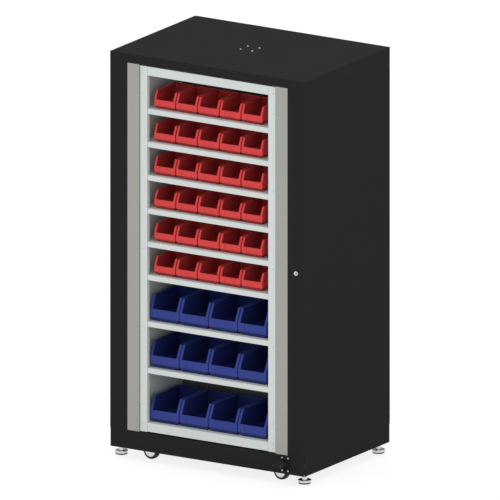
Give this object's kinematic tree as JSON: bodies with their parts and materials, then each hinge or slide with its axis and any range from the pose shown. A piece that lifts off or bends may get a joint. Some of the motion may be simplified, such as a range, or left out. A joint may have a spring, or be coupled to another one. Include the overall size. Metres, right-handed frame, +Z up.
{
  "type": "rotary parts bin cabinet",
  "caption": "Floor-standing steel cabinet, open front and back, round which a square carousel of shelves turns on a spindle; open-fronted plastic bins stand on the shelves.",
  "frame": {"origin": "on the floor under the middle of the cabinet and its foot pedal; the carousel's axis is 37.5 mm behind it", "axes": "+Z up; +X to the right of someone facing the front; +Y from the front, where the pedal is, to the back"},
  "size_m": [1, 0.775, 1.8365],
  "materials": {
    "case_black": "fine powder coat, satin",
    "strip_grey": "smooth powder coat, satin",
    "carousel_white": "smooth powder coat, satin",
    "bearing_steel": "plain machined steel",
    "zinc": "bright zinc plate",
    "chrome": "polished chrome",
    "wheel_plastic": "pale grey moulded nylon",
    "tyre_rubber": "dark grey rubber",
    "pedal_rubber": "ribbed rubber",
    "red_plastic": "moulded polypropylene, slight sheen",
    "blue_plastic": "moulded polypropylene, slight sheen"
  },
  "bodies": {
    "case": {"base_skirt": "case_black", "base_deck": "case_black", "base_tubes": "case_black", "foot_nuts": "zinc", "side_shell_left": "case_black", "side_shell_right": "case_black", "top_cap": "case_black", "top_channel": "case_black", "front_filler_strips": "strip_grey", "rear_filler_strips": "strip_grey", "top_pivot_flange": "bearing_steel", "top_pivot_bolts": "zinc", "turntable_lower_race": "bearing_steel", "turntable_balls": "bearing_steel", "lock_barrel": "chrome", "lock_nut": "zinc", "pedal_plate": "case_black", "pedal_bolts": "zinc", "pedal_bracket": "bearing_steel", "pedal_pin": "zinc", "caster_brackets": "zinc"},
    "carousel": {"carousel_base": "carousel_white", "carousel_top": "carousel_white", "carousel_side_left": "carousel_white", "carousel_side_right": "carousel_white", "divider": "case_black", "spindle": "bearing_steel", "turntable_upper_race": "bearing_steel", "brake_ring": "bearing_steel", "shelves": "carousel_white", "post_screws": "bearing_steel"},
    "lock": {"lock_plug": "chrome", "lock_cam": "bearing_steel"},
    "pedal": {"pedal_lever": "case_black", "pedal_pad": "pedal_rubber"},
    "brake": {"brake_plunger": "bearing_steel", "brake_spring": "bearing_steel"},
    "caster_front_left": {"caster_front_left_fork": "zinc"},
    "caster_front_left_wheel": {"caster_front_left_hub": "wheel_plastic", "caster_front_left_tyre": "tyre_rubber"},
    "caster_front_right": {"caster_front_right_fork": "zinc"},
    "caster_front_right_wheel": {"caster_front_right_hub": "wheel_plastic", "caster_front_right_tyre": "tyre_rubber"},
    "caster_rear_left_wheel": {"caster_rear_left_hub": "wheel_plastic", "caster_rear_left_tyre": "tyre_rubber"},
    "caster_rear_right_wheel": {"caster_rear_right_hub": "wheel_plastic", "caster_rear_right_tyre": "tyre_rubber"},
    "foot_front_left": {"foot_front_left": "chrome"},
    "foot_front_right": {"foot_front_right": "chrome"},
    "foot_rear_left": {"foot_rear_left": "chrome"},
    "foot_rear_right": {"foot_rear_right": "chrome"},
    "large_bins_row_1": {"large_bins_row_1": "blue_plastic"},
    "large_bins_row_2": {"large_bins_row_2": "blue_plastic"},
    "large_bins_row_3": {"large_bins_row_3": "blue_plastic"},
    "small_bins_row_1": {"small_bins_row_1": "red_plastic"},
    "small_bins_row_2": {"small_bins_row_2": "red_plastic"},
    "small_bins_row_3": {"small_bins_row_3": "red_plastic"},
    "small_bins_row_4": {"small_bins_row_4": "red_plastic"},
    "small_bins_row_5": {"small_bins_row_5": "red_plastic"},
    "small_bins_row_6": {"small_bins_row_6": "red_plastic"}
  },
  "joints": [
    {"name": "carousel_turn", "type": "hinge", "parent": "case", "child": "carousel", "pos_m": [0, 0.0375, 1], "axis": [0, 0, 1], "continuous": true},
    {"name": "lock_turn", "type": "hinge", "parent": "case", "child": "lock", "pos_m": [0.456, -0.3125, 0.9639], "axis": [0, -1, 0], "range_deg": [0, 90]},
    {"name": "pedal_press", "type": "hinge", "parent": "case", "child": "pedal", "pos_m": [0.4, -0.193, 0.093], "axis": [1, 0, 0], "range_deg": [0, 6.5], "stiffness_Nm_per_rad": 20, "springref_deg": -17.19},
    {"name": "brake_lift", "type": "slide", "parent": "case", "child": "brake", "axis": [0, 0, 1], "range_m": [0, 0.004], "deforming": ["brake_spring"]},
    {"name": "caster_front_left_swivel", "type": "hinge", "parent": "case", "child": "caster_front_left", "pos_m": [-0.354, -0.2355, 0.1], "axis": [0, 0, 1], "continuous": true},
    {"name": "caster_front_left_roll", "type": "hinge", "parent": "caster_front_left", "child": "caster_front_left_wheel", "pos_m": [-0.33224, -0.23875, 0.04], "axis": [0.1478, 0.989, 0], "continuous": true},
    {"name": "caster_front_right_swivel", "type": "hinge", "parent": "case", "child": "caster_front_right", "pos_m": [0.354, -0.2355, 0.1], "axis": [0, 0, 1], "continuous": true},
    {"name": "caster_front_right_roll", "type": "hinge", "parent": "caster_front_right", "child": "caster_front_right_wheel", "pos_m": [0.33224, -0.23225, 0.04], "axis": [0.1478, 0.989, 0], "continuous": true},
    {"name": "caster_rear_left_roll", "type": "hinge", "parent": "case", "child": "caster_rear_left_wheel", "pos_m": [-0.354, 0.3105, 0.04], "axis": [1, 0, 0], "continuous": true},
    {"name": "caster_rear_right_roll", "type": "hinge", "parent": "case", "child": "caster_rear_right_wheel", "pos_m": [0.354, 0.3105, 0.04], "axis": [1, 0, 0], "continuous": true},
    {"name": "foot_front_left_screw", "type": "slide", "parent": "case", "child": "foot_front_left", "axis": [0, 0, 1], "range_m": [-0.01, 0.015]},
    {"name": "foot_front_right_screw", "type": "slide", "parent": "case", "child": "foot_front_right", "axis": [0, 0, 1], "range_m": [-0.01, 0.015]},
    {"name": "foot_rear_left_screw", "type": "slide", "parent": "case", "child": "foot_rear_left", "axis": [0, 0, 1], "range_m": [-0.01, 0.015]},
    {"name": "foot_rear_right_screw", "type": "slide", "parent": "case", "child": "foot_rear_right", "axis": [0, 0, 1], "range_m": [-0.01, 0.015]},
    {"name": "large_bins_1_pull", "type": "slide", "parent": "carousel", "child": "large_bins_row_1", "axis": [0, -1, 0], "range_m": [0, 0.15]},
    {"name": "large_bins_2_pull", "type": "slide", "parent": "carousel", "child": "large_bins_row_2", "axis": [0, -1, 0], "range_m": [0, 0.15]},
    {"name": "large_bins_3_pull", "type": "slide", "parent": "carousel", "child": "large_bins_row_3", "axis": [0, -1, 0], "range_m": [0, 0.15]},
    {"name": "small_bins_1_pull", "type": "slide", "parent": "carousel", "child": "small_bins_row_1", "axis": [0, -1, 0], "range_m": [0, 0.1]},
    {"name": "small_bins_2_pull", "type": "slide", "parent": "carousel", "child": "small_bins_row_2", "axis": [0, -1, 0], "range_m": [0, 0.1]},
    {"name": "small_bins_3_pull", "type": "slide", "parent": "carousel", "child": "small_bins_row_3", "axis": [0, -1, 0], "range_m": [0, 0.1]},
    {"name": "small_bins_4_pull", "type": "slide", "parent": "carousel", "child": "small_bins_row_4", "axis": [0, -1, 0], "range_m": [0, 0.1]},
    {"name": "small_bins_5_pull", "type": "slide", "parent": "carousel", "child": "small_bins_row_5", "axis": [0, -1, 0], "range_m": [0, 0.1]},
    {"name": "small_bins_6_pull", "type": "slide", "parent": "carousel", "child": "small_bins_row_6", "axis": [0, -1, 0], "range_m": [0, 0.1]}
  ],
  "couplings": [
    {"joint": "brake_lift", "follows": "pedal_press", "m_per_rad": 0.035255}
  ]
}
